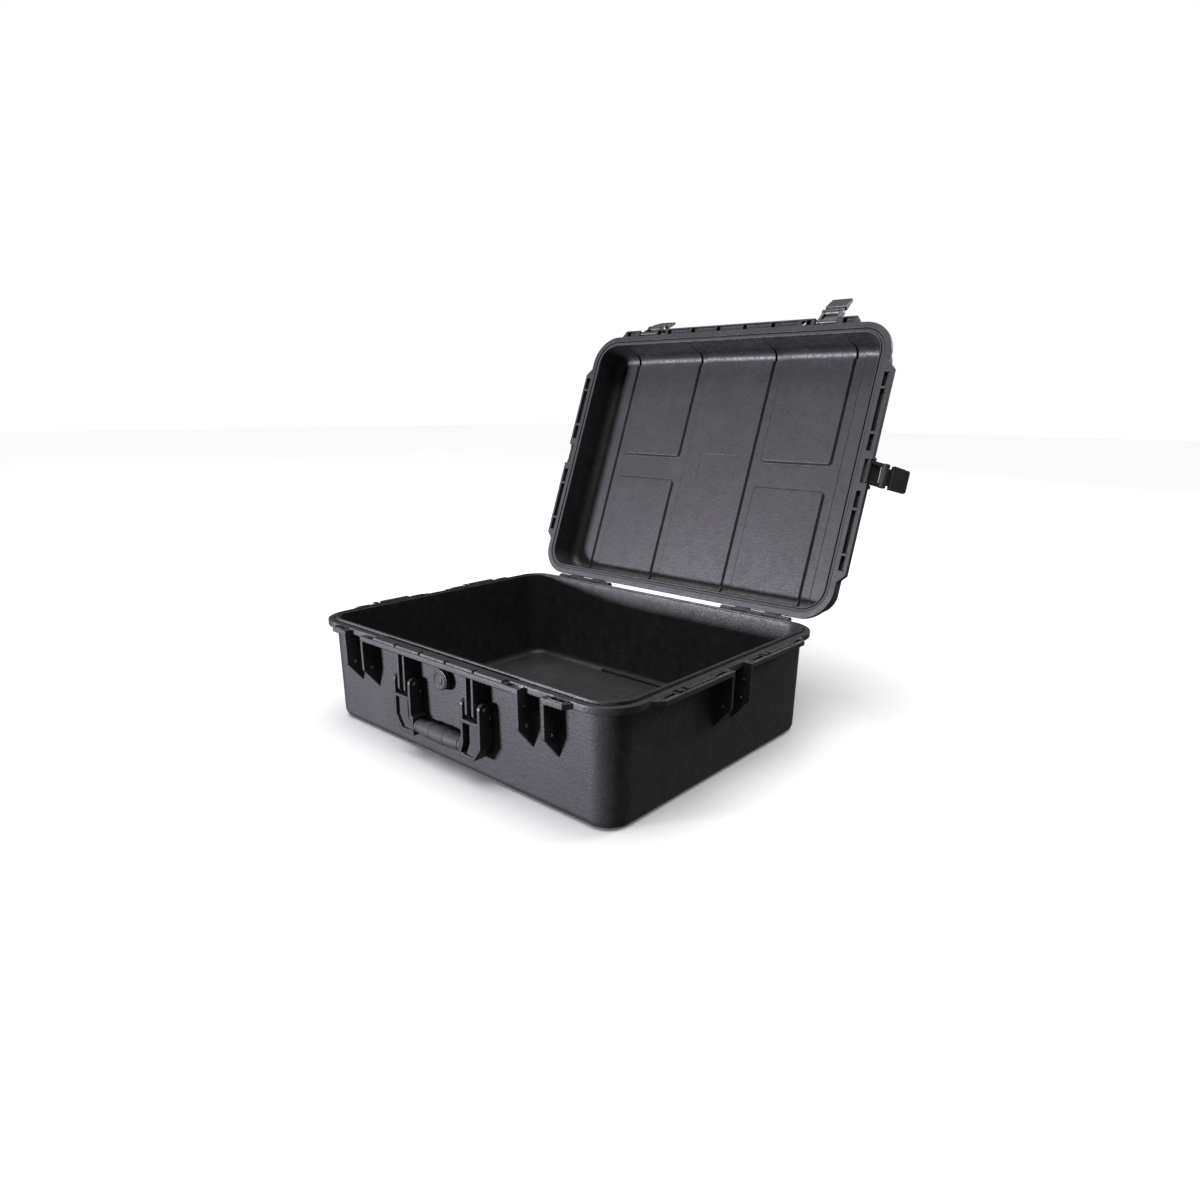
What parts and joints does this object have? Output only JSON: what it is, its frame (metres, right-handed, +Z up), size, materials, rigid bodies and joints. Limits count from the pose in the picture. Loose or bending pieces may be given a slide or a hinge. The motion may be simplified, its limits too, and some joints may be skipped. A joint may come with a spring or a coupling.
{
  "type": "roof cargo box",
  "caption": "Rugged hinged gear case for a roof rack: deep moulded tub, shallow lid on pinned hinges, two-stage latches, fold-flat carry handle and pressure valve.",
  "frame": {"origin": "centre of the flat underside", "axes": "+X to the right along the front, +Y from the handle side to the hinge side, +Z up; at rest the lid stands open against its hinge stop"},
  "size_m": [0.6551, 0.6955, 0.6146],
  "materials": {
    "textured_polypropylene": "fine moulded grain, satin black",
    "latch_plastic": "smoother satin black moulding",
    "soft_rubber": "matt black elastomer",
    "stainless_steel": "drawn stainless pin",
    "vent_membrane": "sintered porous disc"
  },
  "bodies": {
    "base": {"base_shell": "textured_polypropylene", "hinge_pin_left": "stainless_steel", "hinge_pin_right": "stainless_steel", "keeper_pins": "stainless_steel", "handle_pin_left": "stainless_steel", "handle_pin_right": "stainless_steel", "valve_body": "latch_plastic", "valve_washer": "soft_rubber", "valve_nut": "latch_plastic", "valve_vent": "vent_membrane"},
    "lid": {"lid_shell": "textured_polypropylene", "lid_seal": "soft_rubber", "front_left_link_pin": "stainless_steel", "front_right_link_pin": "stainless_steel", "right_link_pin": "stainless_steel", "left_link_pin": "stainless_steel"},
    "handle": {"handle_frame": "latch_plastic", "handle_grip": "soft_rubber", "handle_stop_pins": "stainless_steel"},
    "valve_knob": {"valve_knob": "latch_plastic"},
    "front_left_link": {"front_left_link": "latch_plastic", "front_left_lever_pin": "stainless_steel"},
    "front_left_lever": {"front_left_lever": "latch_plastic"},
    "front_right_link": {"front_right_link": "latch_plastic", "front_right_lever_pin": "stainless_steel"},
    "front_right_lever": {"front_right_lever": "latch_plastic"},
    "right_link": {"right_link": "latch_plastic", "right_lever_pin": "stainless_steel"},
    "right_lever": {"right_lever": "latch_plastic"},
    "left_link": {"left_link": "latch_plastic", "left_lever_pin": "stainless_steel"},
    "left_lever": {"left_lever": "latch_plastic"}
  },
  "joints": [
    {"name": "lid_hinge", "type": "hinge", "parent": "base", "child": "lid", "pos_m": [0, 0.23175, 0.147], "axis": [1, 0, 0], "range_deg": [0, 110.4]},
    {"name": "handle_pivot", "type": "hinge", "parent": "base", "child": "handle", "pos_m": [0, -0.22545, 0.1025], "axis": [-1, 0, 0], "range_deg": [0, 95]},
    {"name": "valve_turn", "type": "hinge", "parent": "base", "child": "valve_knob", "pos_m": [0, -0.21785, 0.1185], "axis": [0, -1, 0], "range_deg": [0, 180]},
    {"name": "front_left_link_pivot", "type": "hinge", "parent": "lid", "child": "front_left_link", "pos_m": [-0.1726, 0.40216, 0.57654], "axis": [-1, 0, 0], "range_deg": [-143.8, 16]},
    {"name": "front_left_lever_pivot", "type": "hinge", "parent": "front_left_link", "child": "front_left_lever", "pos_m": [-0.1726, 0.42416, 0.58615], "axis": [-1, 0, 0], "range_deg": [0, 70]},
    {"name": "front_right_link_pivot", "type": "hinge", "parent": "lid", "child": "front_right_link", "pos_m": [0.1726, 0.40216, 0.57654], "axis": [-1, 0, 0], "range_deg": [-127.8, 32]},
    {"name": "front_right_lever_pivot", "type": "hinge", "parent": "front_right_link", "child": "front_right_lever", "pos_m": [0.1726, 0.42066, 0.59184], "axis": [-1, 0, 0], "range_deg": [0, 70]},
    {"name": "right_link_pivot", "type": "hinge", "parent": "lid", "child": "right_link", "pos_m": [0.2915, 0.3219, 0.36073], "axis": [0, 0.3486, 0.9373], "range_deg": [-142.8, 17]},
    {"name": "right_lever_pivot", "type": "hinge", "parent": "right_link", "child": "right_lever", "pos_m": [0.30847, 0.33781, 0.35481], "axis": [0, 0.3486, 0.9373], "range_deg": [0, 70]},
    {"name": "left_link_pivot", "type": "hinge", "parent": "lid", "child": "left_link", "pos_m": [-0.2915, 0.3219, 0.36073], "axis": [0, -0.3486, -0.9373], "range_deg": [-157.8, 2]},
    {"name": "left_lever_pivot", "type": "hinge", "parent": "left_link", "child": "left_lever", "pos_m": [-0.3035, 0.34138, 0.35348], "axis": [0, -0.3486, -0.9373], "range_deg": [0, 70]}
  ]
}
